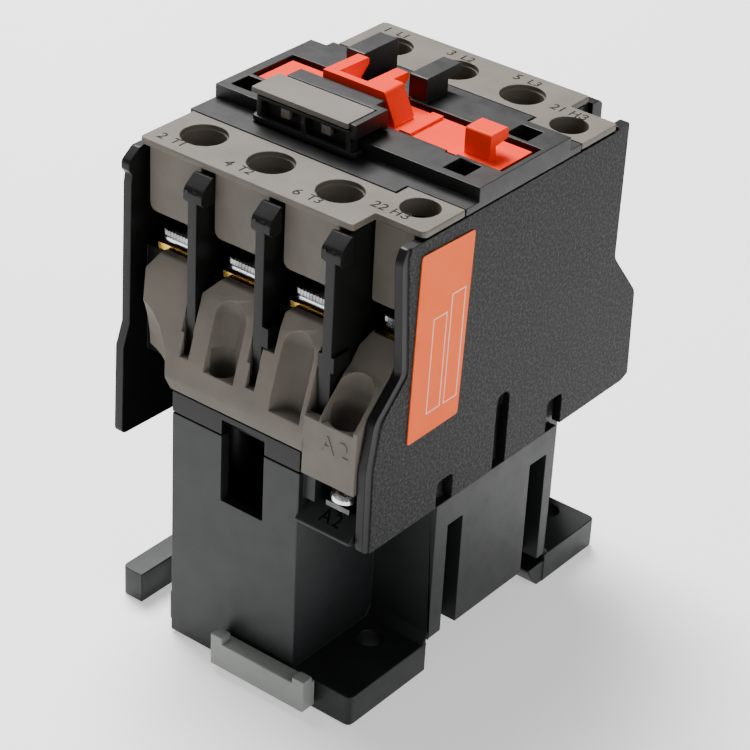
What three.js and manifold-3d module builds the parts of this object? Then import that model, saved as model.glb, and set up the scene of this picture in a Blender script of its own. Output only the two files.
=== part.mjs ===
// Industrial control relay: a four-pole contactor for a 35 mm rail.
// Millimetres. +X runs along the row of poles, -Y to the load side, +Z away from the mounting panel.
import * as THREE from 'three';
import { mergeVertices } from 'three/addons/utils/BufferGeometryUtils.js';
import Module from 'manifold-3d';

const wasm = await Module();
wasm.setup();

// ---- driving dimensions ----
const WALL = 28; // outer face of the side walls
const INNER = 26.2; // inner face of the side walls
const MAIN = [-19.5, -5.0, 9.5]; // main pole centres in X
const AUX = 22.3; // auxiliary pole centre in X
const FIN_OFFSET = 7.35; // pole centre to the fin on its right
const FIN_HALF = 0.95;
const SCREW_Y = 24.9; // main terminal screws, from the centre plane
const AUX_SCREW_Y = 20.55;
const SPLIT_Z = 46; // base housing below, upper housing above
const COVER_Z = 91; // top of the terminal covers and the deck
const PLATFORM_Z = 93.5;
const PLATE_Z = 72.2; // top of the main terminal plates
const CENTRE_Y = 1.7; // housing centre, from the middle of the bounding box
const SIDES = [['load', -1], ['line', 1]];
const FINS = MAIN.map((x) => x + FIN_OFFSET);

// ---- colours ----
const LOOK = {
  smoothBlack: [0x2b2d2f, 0.5, 0],
  grainBlack: [0x252627, 0.75, 0],
  grey: [0x8f8880, 0.65, 0],
  tagGrey: [0x9a9a98, 0.6, 0],
  clipGrey: [0x8c908e, 0.6, 0],
  carrier: [0xe8431a, 0.5, 0],
  label: [0xe87848, 0.55, 0],
  brass: [0xc2933a, 0.35, 1],
  steel: [0xb9bcc0, 0.35, 1],
  darkSteel: [0x3a3c3e, 0.45, 1],
  iron: [0x83868a, 0.5, 1],
  copper: [0xb5643a, 0.4, 1],
  winding: [0x9a4a22, 0.45, 0],
  bobbin: [0xd9d2bf, 0.6, 0],
  rubber: [0x1c1c1c, 0.9, 0],
};

// ---- solids from three.js geometry ----
function solid(geometry) {
  geometry.deleteAttribute('normal');
  geometry.deleteAttribute('uv');
  const merged = mergeVertices(geometry, 1e-4);
  return new wasm.Manifold(new wasm.Mesh({
    numProp: 3,
    vertProperties: merged.attributes.position.array,
    triVerts: new Uint32Array(merged.index.array),
  }));
}

function box(x0, x1, y0, y1, z0, z1) {
  const geometry = new THREE.BoxGeometry(Math.abs(x1 - x0), Math.abs(y1 - y0), Math.abs(z1 - z0));
  return solid(geometry.translate((x0 + x1) / 2, (y0 + y1) / 2, (z0 + z1) / 2));
}

// A corner is [u, v], or [u, v, r] when it is rounded.
function outline(corners) {
  const shape = new THREE.Shape();
  corners.forEach(([u, v, r = 0], i) => {
    const here = new THREE.Vector2(u, v);
    const before = new THREE.Vector2(...corners.at(i - 1).slice(0, 2));
    const after = new THREE.Vector2(...corners[(i + 1) % corners.length].slice(0, 2));
    const start = before.sub(here).setLength(r).add(here);
    const end = after.sub(here).setLength(r).add(here);
    if (i === 0) shape.moveTo(start.x, start.y);
    else shape.lineTo(start.x, start.y);
    if (r > 0) shape.quadraticCurveTo(u, v, end.x, end.y);
  });
  shape.closePath();
  return shape;
}

const BASIS = {
  x: [new THREE.Vector3(0, 1, 0), new THREE.Vector3(0, 0, 1), new THREE.Vector3(1, 0, 0)],
  y: [new THREE.Vector3(1, 0, 0), new THREE.Vector3(0, 0, 1), new THREE.Vector3(0, -1, 0)],
  z: [new THREE.Vector3(1, 0, 0), new THREE.Vector3(0, 1, 0), new THREE.Vector3(0, 0, 1)],
};

// An outline swept along one axis. Its corners are (y, z), (x, z) or (x, y) for axis x, y or z.
function prism(axis, corners, from, to) {
  const settings = { depth: to - from, bevelEnabled: false, curveSegments: 3 };
  const geometry = new THREE.ExtrudeGeometry(outline(corners), settings);
  geometry.applyMatrix4(new THREE.Matrix4().makeBasis(...BASIS[axis]));
  const shift = { x: [from, 0, 0], y: [0, to, 0], z: [0, 0, from] }[axis];
  return solid(geometry.translate(...shift));
}

// A round bar along Z, X or Y. a and b are its centre on the other two axes, in X, Y, Z order.
function rod(axis, r, a, b, from, to, segments = 20) {
  const geometry = new THREE.CylinderGeometry(r, r, to - from, segments);
  const mid = (from + to) / 2;
  if (axis === 'z') geometry.rotateX(Math.PI / 2).translate(a, b, mid);
  if (axis === 'x') geometry.rotateZ(Math.PI / 2).translate(mid, a, b);
  if (axis === 'y') geometry.translate(a, mid, b);
  return solid(geometry);
}

// An egg-shaped hollow: centre and half lengths along X, Y and Z.
function egg(centre, half) {
  const geometry = new THREE.SphereGeometry(1, 28, 16);
  return solid(geometry.scale(...half).translate(...centre));
}

// A round-ended groove that leans back with the front of a terminal nose.
function leaningGroove(x, side, r, low, high) {
  const reach = Math.hypot(high[0] - low[0], high[1] - low[1]);
  const lean = Math.atan2(side * (high[0] - low[0]), high[1] - low[1]);
  const bar = new THREE.CylinderGeometry(r, r, reach, 20).translate(0, reach / 2, 0);
  const end = new THREE.SphereGeometry(r, 20, 12).translate(0, reach, 0);
  const place = (geometry) => solid(geometry.rotateX(Math.PI / 2 - lean).translate(x, side * low[0], low[1]));
  return join(place(bar), place(end));
}

// A compression spring about the Z axis at (x, y).
function coilSpring(x, y, r, wire, z0, z1, turns, perTurn) {
  const points = [];
  const rise = z1 - z0 - 2 * wire;
  const steps = turns * perTurn;
  for (let i = 0; i <= steps; i += 1) {
    const angle = (i / perTurn) * 2 * Math.PI;
    const z = z0 + wire + (rise * i) / steps;
    points.push(new THREE.Vector3(x + r * Math.cos(angle), y + r * Math.sin(angle), z));
  }
  const ring = new THREE.Shape();
  ring.absarc(0, 0, wire, 0, 2 * Math.PI, false);
  const path = new THREE.CatmullRomCurve3(points);
  const settings = { extrudePath: path, steps, bevelEnabled: false, curveSegments: 3 };
  return solid(new THREE.ExtrudeGeometry(ring, settings));
}

const join = (...solids) => solids.reduce((a, b) => a.add(b));
const cut = (from, ...tools) => tools.reduce((a, b) => a.subtract(b), from);

// The same corners on the load side (side -1) or the line side (side 1), from outward distances.
const facing = (side, corners) => corners.map(([out, z, r]) => [side * out, z, r]);

// ---- base housing ----
function foot(side, reach) {
  const plate = (x0, x1, out) => prism('z', [
    [x0, side * 17.4], [x1, side * 17.4], [x1, side * out, 1.2], [x0, side * out, 1.2],
  ], 0, 6);
  // the web that joins each foot to the wall above it
  const web = (x0, x1) => prism('x', facing(side, [
    [17.9, 5.5], [19.3, 5.5], [17.3, 8.4], [17.3, 6.7], [17.9, 6.7],
  ]), x0, x1);
  return join(
    plate(14.3, 27.4, reach),
    plate(-27.7, -13.3, reach - 2.5),
    web(14.3, 27.4),
    web(-27.4, -13.3),
  );
}

function coilTerminalLedge(side) {
  const nose = side < 0 ? 39.6 : 38.6;
  const shelf = prism('x', facing(side, [
    [17, 34], [17, 41], [nose - 3.6, 41], [nose, 37.6], [nose, 37], [nose - 2.6, 36.6], [21, 36.6],
  ]), 14.3, 25.9);
  const pillar = box(14.3, 17, side * 17, side * 37.8, 40.9, SPLIT_Z);
  return join(shelf, pillar);
}

function baseHousing() {
  let body = join(
    box(-27.5, 27.5, -17.6, 17.4, 6.2, 34.7),
    box(-25.9, 25.9, -17.6, 17.4, 34.6, SPLIT_Z),
    box(-13.5, 14.6, -39, -17.4, 0.3, SPLIT_Z),
    box(-13.5, 14.6, 17.2, 38.4, 0.3, SPLIT_Z),
    foot(-1, 39),
    foot(1, 34.3),
    coilTerminalLedge(-1),
    coilTerminalLedge(1),
  );
  // rail catch: a fixed lip along the line side, and relief beside the seat for both edges of the rail
  const lip = prism('x', [
    [13.2, 4.7], [13.2, 4.1], [14.4, 1.9], [16.3, 0], [18, 0], [18, 4.7],
  ], -27.3, 27.3);
  body = cut(body, box(-40, 40, 11.1, 17.8, -1, 6.6), box(-40, 40, -17.8, -11.7, -1, 6.6));
  body = join(body, lip);
  // chambers: the magnet's, and one inside each end box
  body = cut(
    body,
    box(-22.5, 22.5, -16.2, 16.2, 8, 40),
    box(-24, 24, -16.2, 16.2, 35, 50),
    box(-11.5, 12.6, -37, -18.2, 8, 50),
    box(-11.5, 12.6, 18.2, 36.4, 8, 50),
  );
  // bosses for the housing screws
  for (const side of [-1, 1]) {
    body = join(body, rod('z', 3.4, side * 8, side * 28.5, 3, SPLIT_Z, 16));
    body = cut(
      body,
      rod('z', 1.9, side * 8, side * 28.5, -1, 50, 16),
      rod('z', 3.0, side * 8, side * 28.5, -1, 2.6, 16),
    );
  }
  // interlock window, clip channel, coil strip slots, foot holes and the load side's open slot
  body = cut(
    body,
    box(-2.4, 6.9, -40, -36, 33.1, 50),
    box(-2.4, 6.9, 35, 40, 33.1, 50),
    box(1.4, 15.9, -40, -17, 1.0, 5.2),
    prism('z', [[-23, -40], [-16, -40], [-16, -21, 2.5], [-23, -21, 2.5]], -1, 7.5),
  );
  for (const side of [-1, 1]) {
    body = cut(
      body,
      box(18.6, 22.9, side * 15, side * 18, 41, 44),
      rod('z', 1.7, 21.5, side * 35, 38.2, 42, 16),
      rod('z', 2.3, 19.2, side < 0 ? -23.3 : 30.2, -1, 8),
    );
  }
  body = cut(body, rod('z', 2.3, -19.2, 27.4, -1, 8));
  // two deep grooves in each side face
  for (const x of [-1, 1]) {
    body = cut(
      body,
      box(x * 24, x * 28, -14.1, -9.8, 5, 29),
      box(x * 24, x * 28, 10, 15, 5, 29.5),
    );
  }
  return body;
}

function railClip() {
  const bar = box(-1, 20, -42.6, -39.4, 1.3, 6.4);
  const ends = join(box(-1, 1.6, -42.6, -40.2, 6.3, 7.6), box(17.4, 20, -42.6, -40.2, 6.3, 7.6));
  const tongue = box(3.4, 13.9, -39.5, -15.4, 1.4, 4.8);
  const nose = prism('x', [[-15.5, 1.4], [-15.5, 4.8], [-13.8, 4.8], [-13.8, 4], [-15.2, 1.4]], 3.4, 13.9);
  const springArms = join(
    box(1.8, 2.7, -38, -20, 1.8, 4.4),
    box(14.6, 15.5, -38, -20, 1.8, 4.4),
    box(1.8, 15.5, -39.6, -36.8, 1.8, 4.4),
  );
  return join(bar, ends, tongue, nose, springArms);
}

// ---- magnet, coil and armature ----
function magnetCore() {
  const limbs = join(
    box(-21, -15.5, -7.5, 7.5, 14, 31),
    box(-6.5, 6.5, -7.5, 7.5, 14, 31),
    box(15.5, 21, -7.5, 7.5, 14, 31),
  );
  const core = join(box(-21, 21, -7.5, 7.5, 9, 15), limbs);
  return cut(core, box(-18.9, -17.5, -8, 8, 29, 32), box(17.5, 18.9, -8, 8, 29, 32));
}

function shadingRing(x) {
  const near = x * 17.7;
  const far = x * 22.2;
  return cut(box(near, far, -8.8, 8.8, 29.2, 30.6), box(x * 18.7, x * 21.3, -7.8, 7.8, 28, 32));
}

function coilBobbin() {
  const bobbin = join(
    box(-7.9, 7.9, -8.9, 8.9, 15.6, 35.2),
    box(-14.9, 14.9, -16, 16, 15.6, 16.7),
    box(-14.9, 14.9, -16, 16, 34, 35.2),
  );
  return cut(bobbin, box(-6.9, 6.9, -7.9, 7.9, 10, 40));
}

function coilWinding() {
  const pack = prism('z', [[-14, -15, 4], [14, -15, 4], [14, 15, 4], [-14, 15, 4]], 17, 33.7);
  return cut(pack, box(-8.2, 8.2, -9.2, 9.2, 10, 40));
}

function coilStrip(side) {
  const flat = box(19, 22.5, side * 14.6, side * 37.4, 41.3, 42.3);
  const pad = box(19, 24, side * 32.5, side * 37.4, 41.3, 42.3);
  const tail = box(19, 22.5, side * 14.6, side * 15.6, 35.7, 42.3);
  return cut(join(flat, pad, tail), rod('z', 1.7, 21.5, side * 35, 40, 44, 16));
}

function coilScrew(side) {
  const screw = join(
    rod('z', 1.35, 21.5, side * 35, 38.6, 43.2, 16),
    rod('z', 2.7, 21.5, side * 35, 42.6, 45.4),
  );
  return cut(screw, box(18, 25, side * 34.6, side * 35.4, 44.4, 46));
}

function armature() {
  const yoke = join(
    box(-21, 21, -7.5, 7.5, 44.8, 51),
    box(-21, -15.5, -7.5, 7.5, 36.8, 45),
    box(-6.2, 6.2, -7.5, 7.5, 36.8, 45),
    box(15.5, 21, -7.5, 7.5, 36.8, 45),
  );
  return cut(yoke, rod('y', 1.6, 0, 48, -8, 8, 16));
}

// ---- contact carrier ----
function contactCarrier() {
  let body = join(box(-25.5, 25.7, -4.8, 4.8, 56.3, 92.8), box(-20.9, 20.9, -4.8, 4.8, 51.3, 56.4));
  for (const x of MAIN) {
    body = cut(
      body,
      box(x - 3.75, x + 3.75, -5, 5, 78.2, 90.5),
      box(x - 4.6, x + 4.6, -5, -2.4, 56, 75),
      box(x - 4.6, x + 4.6, 2.4, 5, 56, 75),
    );
  }
  body = cut(body, box(19.6, 24.9, -5, 5, 66, 81.3));
  const ears = cut(
    join(box(-4, 4, -9.8, 9.8, 51.3, 55.2), box(-4, 4, -9.8, -7.8, 44.6, 52), box(-4, 4, 7.8, 9.8, 44.6, 52)),
    rod('y', 1.6, 0, 48, -11, 11, 16),
  );
  // the grip that shows in the window: a cross beam, two hooked arms, a brace, a step and a knob
  const arm = [
    [-4, 92.7], [-4, 98.5], [5.7, 98.3, 0.5], [5.7, 97.2], [3.4, 95], [-2.2, 95], [-2.2, 92.7],
  ];
  const grip = join(
    box(-11.7, -0.9, -4, -2.5, 92.7, 98.5),
    prism('x', arm, -11.7, -9.4),
    prism('x', arm, -3.4, -0.9),
    prism('y', [[-1, 98.5], [1.4, 98.5, 0.4], [3.9, 93.4], [3.9, 92.7], [-1, 92.7]], -4, 1.2),
    box(5.3, 7.6, -4.6, 4.6, 92.7, 93.3),
    prism('x', [
      [-3.1, 92.7], [-1.3, 92.7], [-1.6, 95.1], [1.8, 95.5, 0.3], [1.8, 97.5, 0.6], [-3.1, 97.5, 0.6],
    ], 17.6, 22.8),
  );
  return join(body, ears, grip);
}

// ---- contacts ----
function mainBridge(x) {
  return join(
    box(x - 3, x + 3, -12.5, 12.5, 78.5, 80),
    box(x - 2.2, x + 2.2, -12.2, -9.2, 77.2, 78.6),
    box(x - 2.2, x + 2.2, 9.2, 12.2, 77.2, 78.6),
  );
}

function auxBridge() {
  return join(
    box(AUX - 2.1, AUX + 2.1, -11.8, 11.8, 78, 79.2),
    box(AUX - 1.5, AUX + 1.5, -11.6, -8.9, 79.1, 80.15),
    box(AUX - 1.5, AUX + 1.5, 8.9, 11.6, 79.1, 80.15),
  );
}

function mainContact(x, side) {
  const bar = join(
    box(x - 4.2, x + 4.2, side * 17, side * 31.6, 71, PLATE_Z),
    box(x - 3, x + 3, side * 9, side * 17.1, 71, PLATE_Z),
    box(x - 2.2, x + 2.2, side * 9.2, side * 12.2, 72.1, 73.2),
  );
  return cut(bar, rod('z', 2.2, x, side * SCREW_Y, 70, 74, 16));
}

function auxContact(side) {
  const bar = join(
    box(AUX - 3.4, AUX + 3.4, side * 14.4, side * 27, 68.8, 70),
    box(AUX - 1.7, AUX + 1.7, side * 13.4, side * 14.6, 68.8, 82.5),
    box(AUX - 1.7, AUX + 1.7, side * 8.6, side * 13.5, 81.3, 82.5),
    box(AUX - 1.5, AUX + 1.5, side * 8.9, side * 11.6, 80.2, 81.4),
  );
  return cut(bar, rod('z', 2, AUX, side * AUX_SCREW_Y, 67, 71, 16));
}

function terminalScrew(x, y, seat, headR) {
  const screw = join(
    rod('z', 1.8, x, y, seat - 8, seat + 3, 12),
    rod('z', headR, x, y, seat + 2.9, seat + 5.8),
  );
  const slots = join(
    box(x - 2.4, x + 2.4, y - 0.4, y + 0.4, seat + 4.4, seat + 7),
    box(x - 0.4, x + 0.4, y - 2.4, y + 2.4, seat + 4.4, seat + 7),
  );
  return cut(screw, slots);
}

// A cupped pressure plate under the screw head; half is half its width, reach its extent either way in Y.
function clampWasher(x, y, seat, half, reach) {
  const [near, far] = [Math.min(...reach), Math.max(...reach)];
  const plate = prism('z', [
    [x - half, y + near, 1.6], [x + half, y + near, 1.6], [x + half, y + far, 1.6], [x - half, y + far, 1.6],
  ], seat + 0.3, seat + 2.6);
  return cut(plate, rod('z', 2.1, x, y, seat, seat + 4, 16));
}

// ---- upper housing ----
function fin(x, side) {
  const blade = prism('x', facing(side, [
    [36.06, 56.8], [36.06, 87], [5.4, 87], [5.4, 56.2], [10.3, 56.2], [10.3, 50], [31.5, 50], [31.5, 56.8],
  ]), x - FIN_HALF, x + FIN_HALF);
  const brow = side < 0
    ? [[36.06, 87.3, 0.8], [33.4, 89.3], [32.9, 89.3]]
    : [[36.06, 88.8, 0.6], [34.9, 89.6, 0.3], [32.9, 89.6]];
  const cap = prism('x', facing(side, [[36.06, 85.4], ...brow, [32.9, 84.6], [35.3, 84.6]]), x - 2, x + 2);
  const ridge = box(x - FIN_HALF, x + FIN_HALF, side * 5.4, side * 33, 86.9, 89.2);
  return join(blade, cap, ridge);
}

function leftWall() {
  const half = (shoulder, brow) => [
    [0, 89.4], [32.9, 89.4], shoulder, brow, [35.9, 86], [35.1, 84.9], [35.4, 83.2], [35.95, 57],
    [37.5, 52.7], [38, 35.4, 1.2], [18.8, 34.9], [18.8, 40.3, 1], [14.3, 40.3, 1], [14.3, 34.9], [0, 34.9],
  ];
  const front = prism('x', facing(-1, half([33.3, 89.4, 0.2], [35.9, 87.5, 0.6])), -WALL, -INNER);
  const rear = prism('x', facing(1, half([34.8, 89.6, 0.3], [35.9, 88.8, 0.6])), -WALL, -INNER);
  return join(front, rear);
}

function rightWall() {
  const slab = prism('x', [
    [-38.4, 35.2, 2], [-38.5, 51.5, 1], [-36.9, 60.2, 1], [-30.4, 66.5, 1], [-31.9, 87.2, 0.8],
    [-30.8, 89.4, 0.5], [27.3, 89.4], [27.3, 90.1], [30.7, 90.1, 0.8], [30.6, 63.5, 1], [38.5, 53.8, 1],
    [39.2, 36], [37.3, 35.2],
  ], INNER, WALL);
  return cut(
    slab,
    prism('x', [[-2.8, 30], [-2.8, 50, 1.8], [0.9, 50, 1.8], [0.9, 30]], 20, 30),
    prism('x', [[-18.8, 30], [-18.8, 40.3, 1], [-14.3, 40.3, 1], [-14.3, 30]], 20, 30),
    prism('x', [[13.1, 30], [13.1, 41.6, 1], [17.6, 41.6, 1], [17.6, 30]], 20, 30),
    // the front margin lies a little below the rest of the face
    prism('x', [
      [-45, 34], [-45, 92], [-29.4, 92], [-30.3, 87.4], [-28.8, 66, 1], [-35.2, 59.6, 1], [-36.7, 51.3, 1],
      [-36.6, 34],
    ], 27.75, 30),
  );
}

function upperHousing() {
  let body = join(
    leftWall(),
    rightWall(),
    box(-26.5, 26.5, -17.6, 17.4, 46.3, 50.3),
    box(-13.5, 14.6, -39, -17, 46.3, 50.3),
    box(-13.5, 14.6, 17, 38.4, 46.3, 50.3),
  );
  for (const side of [-1, 1]) {
    body = join(
      body,
      box(-26.5, 17, side * 9, side * 31.5, 50.2, 70.7),
      box(17, 26.5, side * 16, side * 27, 50.2, 68.5),
      box(17, 26.5, side * 9, side * 17, 50.2, 62),
      box(-26.5, 17, side * 17.2, side * 18.6, 73.4, 89.2),
      box(16.5, 26.5, side * 14.9, side * 16, 70.4, 89.2),
      ...FINS.map((x) => fin(x, side)),
    );
  }
  // room for the armature and the carrier's ears, and a light well under each terminal
  body = cut(body, box(-23, 23, -10.3, 10.3, 46, 56.2));
  for (const side of [-1, 1]) {
    for (const x of MAIN) {
      body = cut(
        body,
        rod('z', 2.4, x, side * SCREW_Y, 63, 72, 16),
        box(x - 6, x + 6, side * 11.5, side * 16, 46, 69.4),
      );
    }
    body = cut(
      body,
      rod('z', 2.4, AUX, side * AUX_SCREW_Y, 61, 70, 16),
      rod('z', 1.6, side * 8, side * 28.5, 46, 58, 16),
      box(-2.4, 6.9, side * 36, side * 40, 46, 49.2),
    );
  }
  // lugs on the two right-hand fins, above the wire guides
  return join(
    body,
    box(1.8, 4.6, -36.06, -32, 64.4, 68.2),
    box(15.1, 18.4, -36.06, -32, 65.3, 68.3),
    box(15.3, 17.8, -36.06, -31.5, 57.6, 65.4),
  );
}

// ---- covers ----
function topCover() {
  let body = join(
    box(-WALL, WALL, -12.65, 12.65, 90.9, PLATFORM_Z),
    box(-WALL, 16.1, -19, 19, 89.7, COVER_Z),
    box(-WALL, WALL, -16, 16, 89.7, COVER_Z),
  );
  body = cut(
    body,
    box(-26, 27, -5.4, 5.5, 85, 95),
    box(16, 18, -6.2, -5.3, 91.8, 95),
    box(-12.1, -9, 5.3, 6.1, 91.3, 95),
    box(-3.8, -0.5, 5.3, 6.1, 91.3, 95),
    box(19.2, 23.6, -10.9, -6.3, 85, 95),
    box(19.2, 23.6, 6.3, 10.9, 85, 95),
    box(-26, -21.6, -10.9, -6.3, 85, 95),
  );
  const block = [[6.1, 93.4], [12.4, 93.4], [12.4, 90.9], [15.6, 90.9], [15.6, 98.2, 0.4], [6.1, 98.2, 0.4]];
  const hook = [[6.2, 93.4], [12.3, 93.4], [12.3, 96], [15.9, 96.5], [15.9, 97.8, 0.4], [6.2, 97.8, 0.4]];
  return join(body, prism('x', block, -14.8, -10.9), prism('x', hook, -1.2, 2.6));
}

function terminalCover(side) {
  const flip = (corners) => corners.map(([x, y, r]) => [x, side * y, r]);
  const plate = prism('z', flip([
    [-27, 19.3], [-27, 32.6, 1], [18.3, 32.6, 0.6], [18.3, 26.9], [WALL, 26.9, 1], [WALL, 16.3], [16.5, 16.3],
    [16.5, 19.3],
  ]), 89.8, COVER_Z);
  const hang = side < 0 ? [-32.2, -30.6] : [30.6, 32.2];
  const skirts = [[-25, -13.5], [-10.7, 1], [4.1, 15.5]].map(([x0, x1]) => join(
    prism('y', [[x0, 89.9], [x0, 78, 1.6], [x1, 78, 0.8], [x1, 89.9]], ...hang),
    box(x0, x1, side * 19.7, side * 30.7, 88, 89.9),
  ));
  const sleeves = MAIN.map((x) => rod('z', 5.2, x, side * SCREW_Y, 80, 89.9));
  const auxSkirt = prism('y', [
    [18.1, 89.9], [18.1, 75, 0.6], [25.9, 75, 0.6], [25.9, 89.9],
  ], side < 0 ? -26.6 : 25.2, side < 0 ? -25.2 : 26.6);
  const auxBlock = box(18.1, 25.9, side * 16.5, side * 26, 87.6, 89.9);
  return cut(
    join(plate, ...skirts, ...sleeves, auxSkirt, auxBlock),
    ...MAIN.map((x) => rod('z', 4.05, x, side * SCREW_Y, 70, 95, 28)),
    rod('z', 3.35, AUX, side * AUX_SCREW_Y, 70, 95, 28),
  );
}

function wireGuide(side) {
  const shy = side < 0 ? 0 : 0.8;
  // three noses in one run, from the side and then from the front
  const fromSide = prism('x', facing(side, [
    [39.1 - shy, 50.6], [39.1 - shy, 53], [38.2 - shy, 57.3], [34.8, 68.3], [33.2, 71.7, 0.6], [31.9, 71.7],
    [31.9, 50.6],
  ]), -24, 15);
  const fromFront = prism('y', [
    [-13.4, 50], [15, 50], [15, 72], [-21.2, 72], [-23.6, 68.5], [-22.6, 62.5], [-22.6, 54], [-15.6, 52.6],
  ], -45, 45);
  let body = fromSide.intersect(fromFront);
  // slots for the fins: a pocket round the blade and a slit in front of it
  for (const x of FINS.slice(0, 2)) {
    body = cut(
      body,
      box(x - 1.25, x + 1.25, side * 26, side * 37, 56.4, 75),
      box(x - 0.5, x + 1.35, side * 36.9, side * 45, 57, 75),
      prism('y', [[x + 1.2, 68.4], [x + 4.6, 71.9], [x + 1.2, 71.9]], -45, 45),
    );
  }
  body = cut(
    body,
    box(MAIN[2] - 6, MAIN[2] - 3.5, side * 26, side * 45, 64.2, 75),
    // the hollow at the left end
    egg([-24.5, side * 40.5, 52], [9.6, 6, 16]),
    // the screwdriver grooves and the hole below one of them
    leaningGroove(MAIN[1] + 1, side, 3.3, [39.1 - shy, 55], [35.6, 66.2]).trimByPlane([0, 0, 1], 56.3),
    leaningGroove(MAIN[2] + 1, side, 3.3, [39.3 - shy, 54], [35.6, 66.2]).trimByPlane([0, 0, 1], 55),
    rod('z', 2.2, MAIN[1], side * (36 - shy), 50, 60, 20),
  );
  // the apron over the coil terminal, its screwdriver groove, and the third fin's slot between it and the noses
  const slope = side < 0
    ? [[39.1, 46.6], [38.8, 58.3], [32.9, 64.5], [31.6, 65.2], [27.5, 70.1], [27.3, 70.1], [27.3, 46.6]]
    : [[38.5, 46.6], [37.8, 53.5], [31.3, 61.5], [29.7, 64.5], [27.5, 70.1], [27.3, 70.1], [27.3, 46.6]];
  const apronFront = [[14.9, 45], [25.9, 45], [25.9, 71], [19.6, 71], [18.2, 68], [14.9, 68]];
  const apron = prism('x', facing(side, slope), 14.9, 25.9).intersect(prism('y', apronFront, -45, 45));
  const groove = side < 0
    ? leaningGroove(21.7, side, 3.4, [40.6, 56.5], [34.6, 62.8]).trimByPlane([0, 0, 1], 57.6)
    : leaningGroove(21.7, side, 3.4, [39.2, 51.6], [31.9, 60.8]).trimByPlane([0, 0, 1], 54);
  return cut(
    join(body, apron),
    box(FINS[2] - 2.05, FINS[2] + 1.25, side * 26, side * 37, 56.4, 75),
    box(FINS[2] - 2.05, FINS[2] + 1.25, side * 36.9, side * 45, 57.6, 75),
    box(FINS[2] - 2.25, FINS[2] + 1.25, side * 26, side * 31.9, 45, 75),
    groove,
    rod('z', side < 0 ? 3.1 : 2.6, 21.5, side * (side < 0 ? 35.4 : 34.6), 45, 60),
    box(17, 24.6, side * 28.6, side * (37.4 - shy), 46, 52),
  );
}

function tagHolder() {
  const flange = prism('z', [[-17.6, -15.6, 1.2], [4.5, -15.6, 1.2], [4.5, -13.2], [-17.6, -13.2]], 91.3, 92.3);
  const tray = cut(
    join(box(-16.6, 3.4, -15.2, -8.3, 91.3, 96), flange),
    box(-30, 30, -12.95, 0, 90, 93.8),
  );
  const bar = join(box(-16.2, 1.9, -8, -4.4, 93.8, 97.3), box(-16.2, 1.9, -8.6, -7.9, 93.8, 96));
  const end = join(box(3.3, 4.5, -15.2, -8, 94.6, 97.3), box(1.8, 4.5, -8.1, -6.6, 93.8, 97.3));
  return cut(
    join(tray, bar, end),
    box(-15.6, -7.1, -16, -13.6, 92.4, 95.3),
    box(-15.6, -7.1, -16, -9.6, 94.4, 95.3),
    box(-6.1, 2.4, -16, -13.6, 92.4, 95.3),
    box(-6.1, 2.4, -16, -9.6, 94.4, 95.3),
  );
}

function sideLabel() {
  return prism('x', [[-27.2, 86.9], [-28.3, 52.3], [-14.8, 52.5], [-13.3, 86.5]], WALL + 0.02, WALL + 0.3);
}

function housingScrew(side) {
  const screw = join(
    rod('z', 1.4, side * 8, side * 28.5, 0.6, 57, 12),
    rod('z', 2.7, side * 8, side * 28.5, 0.4, 2.3, 16),
  );
  return cut(screw, box(side * 8 - 3, side * 8 + 3, side * 28.5 - 0.35, side * 28.5 + 0.35, 0, 1.2));
}

// ---- assembly ----
const assembly = new THREE.Group();
assembly.name = 'control_relay';
assembly.position.y = CENTRE_Y;

function put(name, look, made) {
  const { vertProperties, triVerts, numProp } = made.getMesh();
  const positions = new Float32Array((vertProperties.length / numProp) * 3);
  for (let i = 0; i < positions.length / 3; i += 1) {
    positions.set(vertProperties.subarray(i * numProp, i * numProp + 3), i * 3);
  }
  const geometry = new THREE.BufferGeometry();
  geometry.setAttribute('position', new THREE.BufferAttribute(positions, 3));
  geometry.setIndex(new THREE.BufferAttribute(new Uint32Array(triVerts), 1));
  geometry.computeVertexNormals();
  const [color, roughness, metalness] = LOOK[look];
  const mesh = new THREE.Mesh(geometry, new THREE.MeshStandardMaterial({ color, roughness, metalness }));
  mesh.name = name;
  assembly.add(mesh);
}

put('base_housing', 'smoothBlack', baseHousing());
put('din_clip', 'clipGrey', railClip());
put('upper_housing', 'grainBlack', upperHousing());
put('top_cover', 'smoothBlack', topCover());
put('tag_holder', 'smoothBlack', tagHolder());
put('tag_plate', 'tagGrey', box(-17.6, 3, -15.5, -8.3, 96.3, 97.3));
put('side_label', 'label', sideLabel());
put('contact_carrier', 'carrier', contactCarrier());
put('magnet_core', 'iron', magnetCore());
put('shading_ring_left', 'copper', shadingRing(-1));
put('shading_ring_right', 'copper', shadingRing(1));
put('core_cushion', 'rubber', box(-20, 20, -9, 9, 8.2, 8.8));
put('coil_bobbin', 'bobbin', coilBobbin());
put('coil_winding', 'winding', coilWinding());
put('armature', 'iron', armature());
put('armature_pin', 'steel', rod('y', 1.5, 0, 48, -9.6, 9.6, 16));
put('return_spring', 'steel', coilSpring(0, 0, 11.5, 0.5, 35.5, 44.6, 4, 14));

for (const [name, side] of SIDES) {
  put(`terminal_cover_${name}`, 'grey', terminalCover(side));
  put(`wire_guide_${name}`, 'grey', wireGuide(side));
  put(`housing_screw_${name}`, 'steel', housingScrew(side));
  put(`coil_terminal_${name}`, 'brass', coilStrip(side));
  put(`coil_screw_${name}`, 'steel', coilScrew(side));
}

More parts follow.
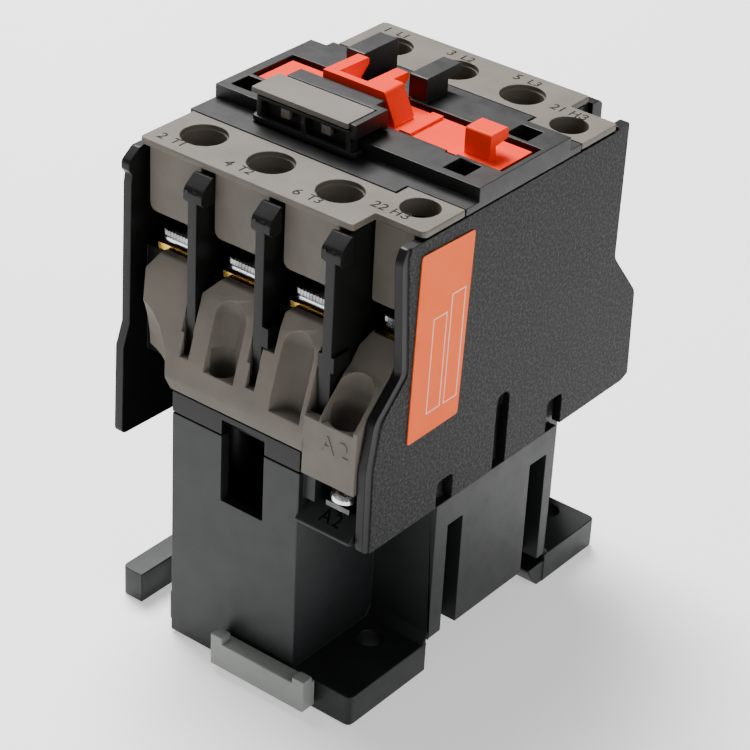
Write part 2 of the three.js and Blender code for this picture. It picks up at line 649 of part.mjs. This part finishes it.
MAIN.forEach((x, i) => {
  const pole = i + 1;
  put(`bridge_${pole}`, 'copper', mainBridge(x));
  put(`contact_spring_${pole}`, 'steel', coilSpring(x, 0, 2.3, 0.35, 80.2, 90.3, 4, 9));
  for (const [letter, side] of [['T', -1], ['L', 1]]) {
    const y = side * SCREW_Y;
    put(`contact_${letter}${pole}`, 'brass', mainContact(x, side));
    put(`screw_${letter}${pole}`, 'darkSteel', terminalScrew(x, y, PLATE_Z, 3.8));
    put(`washer_${letter}${pole}`, 'steel', clampWasher(x, y, PLATE_Z, 4.2, [side * -4.4, side * 6.3]));
  }
});

put('bridge_aux', 'copper', auxBridge());
put('contact_spring_aux', 'steel', coilSpring(AUX, 0, 1.7, 0.3, 66.2, 77.8, 5, 8));
for (const [number, side] of [['22', -1], ['21', 1]]) {
  const y = side * AUX_SCREW_Y;
  put(`contact_${number}`, 'brass', auxContact(side));
  put(`screw_${number}`, 'darkSteel', terminalScrew(AUX, y, 70, 3));
  put(`washer_${number}`, 'steel', clampWasher(AUX, y, 70, 3.2, [side * -3.6, side * 5]));
}

export default assembly;
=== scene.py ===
"""Looks of a rail-mounted control relay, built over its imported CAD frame. Metres."""
import math

import bmesh
import bpy
from mathutils import Euler, Matrix, Vector


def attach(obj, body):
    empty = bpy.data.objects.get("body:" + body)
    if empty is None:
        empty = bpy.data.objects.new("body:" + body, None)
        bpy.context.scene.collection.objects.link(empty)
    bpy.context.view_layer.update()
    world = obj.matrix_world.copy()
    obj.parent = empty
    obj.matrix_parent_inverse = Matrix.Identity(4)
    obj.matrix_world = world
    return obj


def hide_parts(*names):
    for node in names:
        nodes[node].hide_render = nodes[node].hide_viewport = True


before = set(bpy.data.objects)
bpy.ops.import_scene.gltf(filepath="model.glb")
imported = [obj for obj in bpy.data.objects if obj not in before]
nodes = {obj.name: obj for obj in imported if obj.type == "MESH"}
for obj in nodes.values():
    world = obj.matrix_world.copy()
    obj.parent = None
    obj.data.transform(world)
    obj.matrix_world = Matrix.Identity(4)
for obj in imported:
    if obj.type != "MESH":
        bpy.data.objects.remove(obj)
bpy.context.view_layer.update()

# ---------------------------------------------------------------- driving dimensions, in millimetres
MM = 0.001
# the housing's centre plane, along Y from the frame's origin
Y0 = 1.7
# each side's outward direction along Y
SIDES = {"load": -1, "line": 1}
# the three main poles and the auxiliary pole
MAIN_X = (-19.5, -5.0, 9.5)
AUX_X = 22.3
# terminal screws: distance out from the centre plane, height of the seat, radius of the head
SCREW_OUT = 24.9
AUX_SCREW_OUT = 20.55
SEAT = 72.2
AUX_SEAT = 70.0
HEAD_R = 3.8
AUX_HEAD_R = 3.0
# coil terminals
COIL_X = 21.5
COIL_OUT = 35
# the upper housing's outer side face, and the top of the terminal covers
WALL_X = 28.0
COVER_TOP = 91.0
# flat faces round a turned piece
TURNED_STEPS = 48


# ---------------------------------------------------------------- materials
class Graph:
    """A small helper to lay out one node material."""

    def __init__(self, name):
        self.mat = bpy.data.materials.new(name)
        self.mat.use_nodes = True
        self.tree = self.mat.node_tree
        self.tree.nodes.clear()
        self.out = self.add("ShaderNodeOutputMaterial")
        self.shader = self.add("ShaderNodeBsdfPrincipled")
        self.link(self.shader, "BSDF", self.out, "Surface")
        self.coords = self.add("ShaderNodeTexCoord")

    def add(self, kind, **values):
        node = self.tree.nodes.new(kind)
        for key, value in values.items():
            if key in node.inputs:
                node.inputs[key].default_value = value
            else:
                setattr(node, key, value)
        return node

    def link(self, a, out, b, into):
        self.tree.links.new(a.outputs[out], b.inputs[into])

    def math(self, operation, first, second=None):
        """One sum on (node, output) pairs; the second may be a plain number."""
        node = self.add("ShaderNodeMath", operation=operation)
        for slot, value in enumerate((first, second)):
            if isinstance(value, tuple):
                self.tree.links.new(value[0].outputs[value[1]], node.inputs[slot])
            elif value is not None:
                node.inputs[slot].default_value = value
        return node

    def mix_colors(self, mix, first, second):
        """Sets the two colours of a colour mix node: one from another node, one fixed."""
        a, b = [s for s in mix.inputs if s.type == "RGBA"][:2]
        self.tree.links.new(first.outputs["Color"], a)
        b.default_value = (*second, 1.0)

    def noise(self, size_mm, detail=3.0, roughness=0.55, stretch=None):
        """Noise with grains of about the given size, on the piece's own coordinates."""
        node = self.add("ShaderNodeTexNoise", Scale=1.0 / (size_mm * MM), Detail=detail, Roughness=roughness)
        if stretch:
            mapping = self.add("ShaderNodeMapping")
            mapping.inputs["Scale"].default_value = stretch
            self.link(self.coords, "Object", mapping, "Vector")
            self.link(mapping, "Vector", node, "Vector")
        else:
            self.link(self.coords, "Object", node, "Vector")
        return node

    def ramp(self, source, stops):
        """Colours a noise by (place, colour) stops."""
        node = self.add("ShaderNodeValToRGB")
        elements = node.color_ramp.elements
        while len(elements) < len(stops):
            elements.new(0.5)
        for element, (place, color) in zip(elements, stops):
            element.position = place
            element.color = (*color, 1.0)
        self.link(source, "Fac", node, "Fac")
        return node

    def span(self, source, low, high):
        """Stretches the middle of a noise to run from low to high."""
        node = self.add("ShaderNodeMapRange")
        for key, value in (("From Min", 0.3), ("From Max", 0.7), ("To Min", low), ("To Max", high)):
            node.inputs[key].default_value = value
        self.link(source, "Fac", node, "Value")
        return node

    def bump(self, source, strength, distance_mm, out="Fac", below=None):
        """Raises the surface by a noise, over another bump if one is given."""
        node = self.add("ShaderNodeBump", Strength=strength, Distance=distance_mm * MM)
        self.link(source, out, node, "Height")
        if below:
            self.link(below, "Normal", node, "Normal")
        return node

    def finish(self, normal, color, rough):
        """Joins the finished branches to the shader and hands back the material."""
        out = next(s for s in color.outputs if s.type == "RGBA")
        self.tree.links.new(out, self.shader.inputs["Base Color"])
        self.link(rough, "Result", self.shader, "Roughness")
        if normal:
            self.link(normal, "Normal", self.shader, "Normal")
        return self.mat


def moulded(name, low, high, rough, grain_mm=0.35, grain=0.10, mottle_mm=9.0, specular=0.5):
    """Moulded plastic: slow colour drift, fine surface grain and uneven gloss."""
    g = Graph(name)
    g.shader.inputs["Specular IOR Level"].default_value = specular
    color = g.ramp(g.noise(mottle_mm, detail=4.0, roughness=0.6), [(0.32, low), (0.68, high)])
    gloss = g.noise(mottle_mm * 0.35, detail=5.0, roughness=0.65)
    wide = g.bump(g.noise(3.2, detail=2.0), 0.08, 0.05)
    normal = g.bump(g.noise(grain_mm, detail=2.0), grain, 0.06, below=wide)
    return g.finish(normal, color, g.span(gloss, *rough))


def eroded_walls(name):
    """The upper housing: spark-eroded grain on its two outer faces, smooth black everywhere else."""
    g = Graph(name)
    g.shader.inputs["Specular IOR Level"].default_value = 0.20
    place = g.add("ShaderNodeSeparateXYZ")
    g.link(g.coords, "Object", place, "Vector")
    side = g.math("ABSOLUTE", (place, "X"))
    outer = g.math("GREATER_THAN", (side, "Value"), (WALL_X - 0.15) * MM)
    fine = g.noise(0.56, detail=4.0, roughness=0.75)
    pits = g.math("MULTIPLY", (fine, "Fac"), (outer, "Value"))
    specks = g.ramp(fine, [(0.47, (0, 0, 0)), (0.60, (1, 1, 1))])
    amount = g.math("MULTIPLY", (specks, "Color"), (outer, "Value"))
    darker, lighter = (0.0030, 0.0033, 0.0030), (0.0056, 0.0060, 0.0056)
    drift = g.ramp(g.noise(8.0, detail=4.0), [(0.3, darker), (0.7, lighter)])
    mix = g.add("ShaderNodeMix", data_type="RGBA")
    g.link(amount, "Value", mix, "Factor")
    g.mix_colors(mix, drift, (0.036, 0.037, 0.036))
    rough = g.add("ShaderNodeMapRange")
    rough.inputs["To Min"].default_value = 0.40
    rough.inputs["To Max"].default_value = 0.62
    g.link(outer, "Value", rough, "Value")
    wide = g.bump(g.noise(3.0, detail=2.0), 0.08, 0.05)
    return g.finish(g.bump(pits, 0.85, 0.14, out="Value", below=wide), mix, rough)


def metal(name, low, high, rough, stretch=(1, 9, 1)):
    """Plated or stamped metal: tarnish drift, drawn scratches and uneven polish."""
    g = Graph(name)
    g.shader.inputs["Metallic"].default_value = 1.0
    color = g.ramp(g.noise(2.6, detail=4.0), [(0.3, low), (0.7, high)])
    lines = g.noise(0.35, detail=3.0, stretch=stretch)
    gloss = g.noise(0.9, detail=4.0, stretch=stretch)
    return g.finish(g.bump(lines, 0.12, 0.03), color, g.span(gloss, *rough))


def banded(name, low, high, band_mm, axis, metallic, rough, depth):
    """Fine light and dark layers of the given width: stacked laminations or wound turns."""
    g = Graph(name)
    g.shader.inputs["Metallic"].default_value = metallic
    wave = g.add("ShaderNodeTexWave", wave_type="BANDS", bands_direction=axis)
    # at scale 1 a wave repeats, light band and dark, every pi / 10 units
    wave.inputs["Scale"].default_value = math.pi / 10 / (2 * band_mm * MM)
    wave.inputs["Distortion"].default_value = 0.4
    wave.inputs["Detail"].default_value = 1.0
    g.link(g.coords, "Object", wave, "Vector")
    color = g.ramp(wave, [(0.15, low), (0.75, high)])
    gloss = g.noise(1.5, detail=4.0)
    return g.finish(g.bump(wave, depth, 0.12), color, g.span(gloss, *rough))


def plastics():
    """The moulded, printed and rubber surfaces: two end colours, gloss range, grain size and depth."""
    return {
        "base_black": moulded("base_black", (0.0100, 0.0110, 0.0115), (0.016, 0.017, 0.018), (0.36, 0.48),
                              0.5, 0.05, specular=0.26),
        "cover_black": moulded("cover_black", (0.0080, 0.0080, 0.0080), (0.0135, 0.0135, 0.013), (0.36, 0.5),
                               0.4, 0.07, specular=0.28),
        "wall_black": eroded_walls("wall_black"),
        "warm_grey": moulded("warm_grey", (0.122, 0.107, 0.090), (0.150, 0.132, 0.111), (0.46, 0.60),
                             0.35, 0.10, specular=0.20),
        "tag_grey": moulded("tag_grey", (0.138, 0.122, 0.106), (0.166, 0.148, 0.130), (0.42, 0.54),
                            0.4, 0.08, specular=0.22),
        "clip_grey": moulded("clip_grey", (0.205, 0.216, 0.206), (0.250, 0.262, 0.250), (0.42, 0.55),
                             0.4, 0.08),
        "orange": moulded("orange", (0.90, 0.022, 0.000), (0.97, 0.034, 0.001), (0.40, 0.50),
                          0.5, 0.06, specular=0.12),
        "label": moulded("label", (0.95, 0.112, 0.006), (0.99, 0.132, 0.010), (0.45, 0.58),
                         0.25, 0.05, mottle_mm=14.0, specular=0.14),
        "print_pale": moulded("print_pale", (0.85, 0.55, 0.40), (0.92, 0.64, 0.50), (0.5, 0.6), 0.3, 0.04),
        "mark_dark": moulded("mark_dark", (0.001, 0.001, 0.001), (0.003, 0.003, 0.003), (0.6, 0.7),
                             0.3, 0.1, specular=0.05),
        "mark_taupe": moulded("mark_taupe", (0.009, 0.007, 0.005), (0.016, 0.013, 0.010), (0.6, 0.72),
                              0.3, 0.1, specular=0.08),
        "cream": moulded("cream", (0.52, 0.47, 0.36), (0.62, 0.57, 0.45), (0.4, 0.55), 0.4, 0.08),
        "rubber": moulded("rubber", (0.010, 0.010, 0.010), (0.016, 0.016, 0.016), (0.7, 0.85), 0.3, 0.3),
    }


def metals():
    """The plated, stamped and wound surfaces."""
    return {
        "brass": metal("brass", (0.62, 0.36, 0.05), (0.86, 0.56, 0.12), (0.16, 0.32)),
        "zinc": metal("zinc", (0.58, 0.60, 0.62), (0.82, 0.83, 0.84), (0.14, 0.34)),
        "dark_zinc": metal("dark_zinc", (0.13, 0.135, 0.14), (0.36, 0.37, 0.38), (0.12, 0.30)),
        "dark_steel": metal("dark_steel", (0.05, 0.05, 0.052), (0.12, 0.12, 0.12), (0.26, 0.42)),
        "copper": metal("copper", (0.46, 0.17, 0.09), (0.70, 0.29, 0.16), (0.24, 0.4)),
        "spring_steel": metal("spring_steel", (0.34, 0.35, 0.36), (0.55, 0.56, 0.57), (0.22, 0.36),
                              stretch=(1, 1, 1)),
        "iron": banded("iron", (0.16, 0.16, 0.165), (0.30, 0.30, 0.31), 0.5, "Y", 1.0, (0.32, 0.5), 0.5),
        "winding": banded("winding", (0.16, 0.035, 0.012), (0.36, 0.090, 0.030), 0.35, "Z", 0.0,
                          (0.22, 0.36), 0.8),
    }


LOOK = {**plastics(), **metals()}


# ---------------------------------------------------------------- carried-over CAD nodes
def soften(name, look, width_mm):
    """Keeps a CAD node, with its moulded edges rounded and its material set."""
    obj = nodes[name]
    obj.data.materials.clear()
    obj.data.materials.append(LOOK[look])
    weld = obj.modifiers.new("weld", "WELD")
    weld.merge_threshold = 0.02 * MM
    if width_mm:
        bevel = obj.modifiers.new("edges", "BEVEL")
        bevel.width = width_mm * MM
        bevel.segments = 2
        bevel.limit_method = "ANGLE"
        bevel.angle_limit = math.radians(30.0)
        # the carrier's grooves are narrow, so its edges are kept from growing past each other
        bevel.use_clamp_overlap = name == "contact_carrier"
        shading = obj.modifiers.new("shading", "WEIGHTED_NORMAL")
        shading.weight = 50
        shading.keep_sharp = True
    obj.data.shade_smooth()


# each node's material and the width of its rounded edges, in millimetres
CARRIED = {
    "base_housing": ("base_black", 0.20),
    "upper_housing": ("wall_black", 0.12),
    "top_cover": ("cover_black", 0.12),
    "tag_holder": ("cover_black", 0.15),
    "tag_plate": ("tag_grey", 0.18),
    "din_clip": ("clip_grey", 0.2),
    "contact_carrier": ("orange", 0.12),
    "terminal_cover_load": ("warm_grey", 0.20),
    "terminal_cover_line": ("warm_grey", 0.20),
    "wire_guide_load": ("warm_grey", 0.15),
    "wire_guide_line": ("warm_grey", 0.15),
    "magnet_core": ("iron", 0.15),
    "armature": ("iron", 0.15),
    "armature_pin": ("spring_steel", 0.15),
    "shading_ring_left": ("copper", 0.1),
    "shading_ring_right": ("copper", 0.1),
    "core_cushion": ("rubber", 0.1),
    "coil_bobbin": ("cream", 0.15),
    "coil_winding": ("winding", 0.2),
    "return_spring": ("spring_steel", 0),
    "coil_terminal_load": ("dark_steel", 0.1),
    "coil_terminal_line": ("dark_steel", 0.1),
    "housing_screw_load": ("zinc", 0.15),
    "housing_screw_line": ("zinc", 0.15),
    "bridge_aux": ("copper", 0.12),
    "contact_spring_aux": ("spring_steel", 0),
    "contact_22": ("brass", 0.12),
    "contact_21": ("brass", 0.12),
}
for number in (1, 2, 3):
    CARRIED[f"bridge_{number}"] = ("copper", 0.15)
    CARRIED[f"contact_spring_{number}"] = ("spring_steel", 0)
    CARRIED[f"contact_T{number}"] = ("brass", 0.12)
    CARRIED[f"contact_L{number}"] = ("brass", 0.12)


# ---------------------------------------------------------------- pieces built here
def mesh_piece(name, bm, look, body, *stands_for, smooth_angle=35.0):
    """Turns a bmesh in millimetres, in the frame's axes, into a piece that rides on a body."""
    bmesh.ops.remove_doubles(bm, verts=bm.verts, dist=0.0005)
    bmesh.ops.recalc_face_normals(bm, faces=bm.faces)
    bmesh.ops.scale(bm, verts=bm.verts, vec=(MM, MM, MM))
    limit = math.radians(smooth_angle)
    for edge in bm.edges:
        edge.smooth = len(edge.link_faces) == 2 and edge.calc_face_angle(0.0) < limit
    for face in bm.faces:
        face.smooth = True
    mesh = bpy.data.meshes.new(name)
    bm.to_mesh(mesh)
    bm.free()
    obj = bpy.data.objects.new(name, mesh)
    bpy.context.scene.collection.objects.link(obj)
    mesh.materials.append(LOOK[look])
    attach(obj, body)
    if stands_for:
        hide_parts(*stands_for)
    return obj


def lathe(bm, profile, cx, cy):
    """Spins (radius, height) points about a vertical axis."""
    rings = []
    for i in range(TURNED_STEPS):
        a = 2 * math.pi * i / TURNED_STEPS
        rings.append([bm.verts.new((cx + r * math.cos(a), cy + r * math.sin(a), z)) for r, z in profile])
    for a, b in zip(rings, rings[1:] + rings[:1]):
        for k in range(len(profile) - 1):
            bm.faces.new((a[k], b[k], b[k + 1], a[k + 1]))


def cut_away(obj, *boxes):
    """Cuts boxes, given as (centre, size) in millimetres, out of a piece and leaves a plain mesh."""
    bm = bmesh.new()
    for centre, size in boxes:
        matrix = Matrix.Translation(centre) @ Matrix.Diagonal((*size, 1))
        bmesh.ops.create_cube(bm, size=1.0, matrix=matrix)
    bmesh.ops.scale(bm, verts=bm.verts, vec=(MM, MM, MM))
    mesh = bpy.data.meshes.new(obj.name + "_cut")
    bm.to_mesh(mesh)
    bm.free()
    cutter = bpy.data.objects.new(obj.name + "_cut", mesh)
    bpy.context.scene.collection.objects.link(cutter)
    modifier = obj.modifiers.new("recess", "BOOLEAN")
    modifier.operation = "DIFFERENCE"
    modifier.solver = "EXACT"
    modifier.use_self = True
    modifier.object = cutter
    bpy.context.view_layer.update()
    done = bpy.data.meshes.new_from_object(obj.evaluated_get(bpy.context.evaluated_depsgraph_get()))
    obj.modifiers.clear()
    obj.data = done
    bpy.data.objects.remove(cutter)


def terminal_screw(number, cx, cy, seat, radius):
    """A pan-head terminal screw with a cross recess and a threaded shank."""
    top = seat + 5.8
    tip = seat - 8
    pitch = 0.75
    core, crest = 1.55, 1.8
    slot, depth = 0.84, 1.3
    thread = []
    for k in range(14):
        z = tip + k * pitch
        thread += [(core, z), (crest, z + 0.3), (crest, z + 0.42)]
    profile = [(0.0, tip)] + [p for p in thread if p[1] < seat + 2.6] + [
        (1.7, seat + 2.75), (radius - 0.3, seat + 2.9), (radius, seat + 3.2), (radius, seat + 5.1),
        (radius - 0.12, seat + 5.45), (radius - 0.45, seat + 5.7), (radius * 0.62, top), (0.0, top),
    ]
    bm = bmesh.new()
    lathe(bm, profile, cx, cy)
    obj = mesh_piece(f"terminal_screw_{number}", bm, "dark_steel", f"screw_{number}", f"screw_{number}")
    arm = radius * 1.24
    cut_away(
        obj,
        ((cx, cy, top), (arm, slot, 2 * depth)),
        ((cx, cy, top), (slot, arm, 2 * depth)),
    )


def coil_screw(side, s):
    """The coil terminal's screw: a slotted round head."""
    cx, cy = COIL_X, s * COIL_OUT + Y0
    profile = [
        (0.0, 38.65), (1.2, 38.8), (1.35, 39.2), (1.35, 42.4), (2.5, 42.62), (2.7, 42.75), (2.7, 43.35),
        (2.55, 43.7), (2.1, 44.2), (1.3, 44.6), (0.0, 44.7),
    ]
    bm = bmesh.new()
    lathe(bm, profile, cx, cy)
    obj = mesh_piece(f"coil_terminal_screw_{side}", bm, "zinc", f"coil_screw_{side}", f"coil_screw_{side}")
    cut_away(obj, ((cx, cy, 44.6), (6.4, 0.9, 2.0)))


def rounded_rectangle(x0, x1, y0, y1, r, count):
    """Evenly spaced points round a rectangle with round corners, each with its outward direction."""
    straight = (x1 - x0 - 2 * r, y1 - y0 - 2 * r)
    arc = math.pi / 2 * r
    corners = ((x1 - r, y0 + r, -90), (x1 - r, y1 - r, 0), (x0 + r, y1 - r, 90), (x0 + r, y0 + r, 180))
    points = []
    total = 2 * sum(straight) + 4 * arc
    for i in range(count):
        d = total * i / count
        for k, (cx, cy, start) in enumerate(corners):
            run = straight[1] if k % 2 == 0 else straight[0]
            if d <= arc:
                a = math.radians(start) + d / r
                points.append((cx + r * math.cos(a), cy + r * math.sin(a), math.cos(a), math.sin(a)))
                break
            d -= arc
            if d <= run:
                a = math.radians(start + 90)
                nx, ny = math.cos(a), math.sin(a)
                points.append((cx + r * nx - d * ny, cy + r * ny + d * nx, nx, ny))
                break
            d -= run
    return points


def clamp_plate(number, cx, cy, seat, half, reach):
    """A pair of stacked pressure plates under the screw head, with serrated rims."""
    y0, y1 = sorted(cy + v for v in reach)
    rim = rounded_rectangle(cx - half, cx + half, y0, y1, 1.7, 216)
    # rings from the bottom up: height over the seat, distance in from the rim, depth of the teeth
    levels = [
        (0.34, 0.30, 0), (0.48, 0.08, 0), (0.80, 0.01, 0), (1.15, 0.08, 0), (1.30, 0.40, 0),
        (1.44, 0.10, 0.22), (2.32, 0.10, 0.22), (2.56, 0.60, 0),
    ]
    bm = bmesh.new()
    loops = []
    for z, inset, teeth in levels:
        loop = []
        for i, (x, y, nx, ny) in enumerate(rim):
            # a tooth for every four points
            back = inset + teeth * (0.5 + 0.5 * math.cos(math.pi * i / 2))
            loop.append(bm.verts.new((x - nx * back, y - ny * back, seat + z)))
        loops.append(loop)
    # then down through the hole round the screw
    for r, z in ((2.3, 2.55), (2.1, 2.4), (2.1, 0.34)):
        angles = [math.atan2(y - cy, x - cx) for x, y, _, _ in rim]
        loops.append([bm.verts.new((cx + r * math.cos(a), cy + r * math.sin(a), seat + z)) for a in angles])
    for low, high in zip(loops, loops[1:] + loops[:1]):
        for i in range(len(rim)):
            j = (i + 1) % len(rim)
            bm.faces.new((low[i], low[j], high[j], high[i]))
    obj = mesh_piece(f"clamp_plate_{number}", bm, "zinc", "housing", f"washer_{number}", smooth_angle=28.0)
    # the upper plate is the darker one
    obj.data.materials.append(LOOK["dark_zinc"])
    for face in obj.data.polygons:
        if face.center.z > (seat + 1.25) * MM:
            face.material_index = 1


def terminals():
    """Every screw, and the plates under the terminal screws."""
    for side, letter, s in (("load", "T", -1), ("line", "L", 1)):
        for k, x in enumerate(MAIN_X, 1):
            y = s * SCREW_OUT + Y0
            terminal_screw(f"{letter}{k}", x, y, SEAT, HEAD_R)
            clamp_plate(f"{letter}{k}", x, y, SEAT, 4.2, (s * -4.4, s * 6.3))
        number = "22" if s < 0 else "21"
        y = s * AUX_SCREW_OUT + Y0
        terminal_screw(number, AUX_X, y, AUX_SEAT, AUX_HEAD_R)
        clamp_plate(number, AUX_X, y, AUX_SEAT, 3.2, (s * -3.6, s * 5))
        coil_screw(side, s)


def bore_step(name, cx, cy):
    """A shallow step near the top of a screwdriver bore."""
    z = COVER_TOP - 0.7
    inner, outer = 3.84, 4.06
    bm = bmesh.new()
    profile = [(outer, z), (inner, z - 0.25), (inner, z - 2.2), (outer, z - 2.2), (outer, z)]
    lathe(bm, profile, cx, cy)
    mesh_piece(name, bm, "warm_grey", "housing")


def bore_steps():
    """A step in each main pole's two bores."""
    for side, s in SIDES.items():
        for k, x in enumerate(MAIN_X, 1):
            bore_step(f"bore_step_{side}_{k}", x, s * SCREW_OUT + Y0)


def lettering(name, text, size_mm, place, turn, look, depth_mm=0.03, spread=1.0):
    """Raised or inked lettering in the built-in font, as a thin mesh."""
    curve = bpy.data.curves.new(name, "FONT")
    curve.body = text
    curve.size = size_mm * MM
    curve.extrude = depth_mm * MM / 2
    curve.align_x = "CENTER"
    curve.align_y = "CENTER"
    curve.space_character = spread
    holder = bpy.data.objects.new(name + "_font", curve)
    bpy.context.scene.collection.objects.link(holder)
    bpy.context.view_layer.update()
    mesh = bpy.data.meshes.new_from_object(holder.evaluated_get(bpy.context.evaluated_depsgraph_get()))
    bpy.data.objects.remove(holder)
    obj = bpy.data.objects.new(name, mesh)
    bpy.context.scene.collection.objects.link(obj)
    mesh.materials.clear()
    mesh.materials.append(LOOK[look])
    spin = Euler([math.radians(v) for v in turn]).to_matrix().to_4x4()
    obj.matrix_world = Matrix.Translation(Vector(place) * MM) @ spin
    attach(obj, "housing")


def terminal_numbers():
    """The terminal numbers on the covers, and the coil's marks on each apron and ledge."""
    face = COVER_TOP + 0.02
    rows = {
        "load": (("2", "T1"), ("4", "T2"), ("6", "T3"), ("22", "\u041d\u0417")),
        "line": (("1", "L1"), ("3", "L2"), ("5", "L3"), ("21", "\u041d\u0417")),
    }
    for side, pairs in rows.items():
        s = SIDES[side]
        for k, (x, (number, letters)) in enumerate(zip((*MAIN_X, AUX_X), pairs)):
            # the auxiliary terminal is the fourth in each row
            out, left, right = (29.95, 4.75, 1.15) if k < 3 else (24.6, 5.1, 0.9)
            y = s * out + Y0
            lettering(f"number_{side}_{k}", number, 3.0, (x - left, y, face), (0, 0, 0), "mark_taupe")
            lettering(f"letters_{side}_{k}", letters, 2.7, (x - right, y, face), (0, 0, 0), "mark_taupe")
        mark, turn = ("A2", 0) if s < 0 else ("A1", 180)
        apron, height, ledge = (38.97, 54.0, 37.8) if s < 0 else (38.4, 49.6, 36.8)
        lettering(f"coil_mark_{side}", mark, 4.4, (COIL_X, s * apron + Y0, height), (88.5, 0, turn),
                  "warm_grey", 0.16, 1.35)
        lettering(f"ledge_mark_{side}", mark, 3.4, (20.6, s * ledge + Y0, 39.34), (43.4, 0, turn),
                  "mark_dark", 0.06, 1.2)


def tag_plate_legs():
    """Two short legs of the tag plate, seen inside the holder's compartments."""
    for k, x in enumerate((-10.6, -1.9)):
        bm = bmesh.new()
        matrix = Matrix.Translation((x, -14.5 + Y0, 94.4)) @ Matrix.Diagonal((1.9, 1.0, 1.7, 1))
        bmesh.ops.create_cube(bm, size=1.0, matrix=matrix)
        bmesh.ops.bevel(bm, geom=bm.edges[:], offset=0.15, segments=2, profile=0.5, affect="EDGES")
        mesh_piece(f"tag_plate_leg_{k}", bm, "tag_grey", "housing")


def plain_label():
    """The side label: a thin film with rounded corners and two pale frames, no print."""
    corners = [(-27.2, 86.9), (-28.3, 52.3), (-14.8, 52.5), (-13.3, 86.5)]
    corner_size = 0.7
    bm = bmesh.new()
    ring = []
    for i, (y, z) in enumerate(corners):
        here = Vector((y, z))
        before = (Vector(corners[i - 1]) - here).normalized() * corner_size
        after = (Vector(corners[(i + 1) % 4]) - here).normalized() * corner_size
        for t in (0.0, 0.25, 0.5, 0.75, 1.0):
            p = here + before * (1 - t) ** 2 + after * t ** 2
            ring.append(p)
    low = [bm.verts.new((WALL_X + 0.03, p.x + Y0, p.y)) for p in ring]
    high = [bm.verts.new((WALL_X + 0.22, p.x + Y0, p.y)) for p in ring]
    bm.faces.new(high)
    bm.faces.new(list(reversed(low)))
    for i in range(len(ring)):
        j = (i + 1) % len(ring)
        bm.faces.new((low[i], low[j], high[j], high[i]))
    mesh_piece("label_film", bm, "label", "housing", "side_label", smooth_angle=20)
    frames = {"label_frame_a": (-23.9, -20.2, 56.3, 74.0), "label_frame_b": (-19.3, -15.6, 56.3, 76.8)}
    for name, (y0, y1, z0, z1) in frames.items():
        bm = bmesh.new()
        # the width of a frame's line
        w = 0.22
        bars = (
            (y0, y1, z0, z0 + w), (y0, y1, z1 - w, z1),
            (y0, y0 + w, z0 + w, z1 - w), (y1 - w, y1, z0 + w, z1 - w),
        )
        for a, b, c, d in bars:
            # the frames lean with the label
            pts = [(y + (z - 52.4) * 0.03, z) for y, z in ((a, c), (b, c), (b, d), (a, d))]
            face = [bm.verts.new((WALL_X + 0.24, y + Y0, z)) for y, z in pts]
            back = [bm.verts.new((WALL_X + 0.2, y + Y0, z)) for y, z in pts]
            bm.faces.new(face)
            bm.faces.new(list(reversed(back)))
            for i in range(4):
                j = (i + 1) % 4
                bm.faces.new((back[i], back[j], face[j], face[i]))
        mesh_piece(name, bm, "print_pale", "housing")


# ---------------------------------------------------------------- camera, floor and light
def area(name, place, aim, size, power):
    """A soft rectangular lamp, aimed at a point."""
    light = bpy.data.lights.new(name, "AREA")
    light.shape = "RECTANGLE"
    light.size, light.size_y = size
    light.energy = power
    obj = bpy.data.objects.new(name, light)
    obj.location = place
    obj.rotation_euler = (Vector(aim) - Vector(place)).to_track_quat("-Z", "Y").to_euler()
    bpy.context.scene.collection.objects.link(obj)


def camera():
    """A long lens, from above the load side's right-hand corner."""
    camera_data = bpy.data.cameras.new("camera")
    camera_data.lens = 123.745
    camera_data.sensor_width = 36.0
    camera_data.clip_start = 0.01
    camera_data.clip_end = 20.0
    obj = bpy.data.objects.new("camera", camera_data)
    obj.location = (0.23506, -0.31296 + Y0 * MM, 0.28000)
    obj.rotation_euler = [math.radians(v) for v in (58.60, -2.63, 38.56)]
    bpy.context.scene.collection.objects.link(obj)
    bpy.context.scene.camera = obj


def floor():
    """A pale floor that glows a little, so that its shadows stay soft."""
    bm = bmesh.new()
    bmesh.ops.create_grid(bm, x_segments=1, y_segments=1, size=2.5)
    mesh = bpy.data.meshes.new("floor")
    bm.to_mesh(mesh)
    bm.free()
    obj = bpy.data.objects.new("floor", mesh)
    obj.location.z = -0.2 * MM
    g = Graph("floor")
    drift = g.noise(400.0, detail=2.0)
    g.shader.inputs["Emission Color"].default_value = (1, 1, 1, 1)
    g.shader.inputs["Emission Strength"].default_value = 0.60
    shade = g.ramp(drift, [(0.3, (0.86, 0.86, 0.86)), (0.7, (0.9, 0.9, 0.9))])
    mesh.materials.append(g.finish(None, shade, g.span(drift, 0.55, 0.65)))
    bpy.context.scene.collection.objects.link(obj)


def lights():
    """A high key from behind the left, two weak fills and an even white surround."""
    area("key", (-0.62, 0.34, 1.15), (0, 0, 0.08), (0.7, 0.7), 48)
    area("side", (1.10, -0.10, 0.55), (0, 0, 0.05), (0.7, 0.7), 4)
    area("front", (-0.50, -1.05, 0.50), (0, 0, 0.05), (0.9, 0.6), 0.5)
    world = bpy.data.worlds.new("studio")
    world.use_nodes = True
    background = world.node_tree.nodes["Background"]
    background.inputs["Color"].default_value = (1, 1, 1, 1)
    background.inputs["Strength"].default_value = 0.20
    bpy.context.scene.world = world


# ---------------------------------------------------------------- the build
for node_name, (look_name, edge_mm) in CARRIED.items():
    soften(node_name, look_name, edge_mm)
terminals()
bore_steps()
terminal_numbers()
tag_plate_legs()
plain_label()
camera()
floor()
lights()
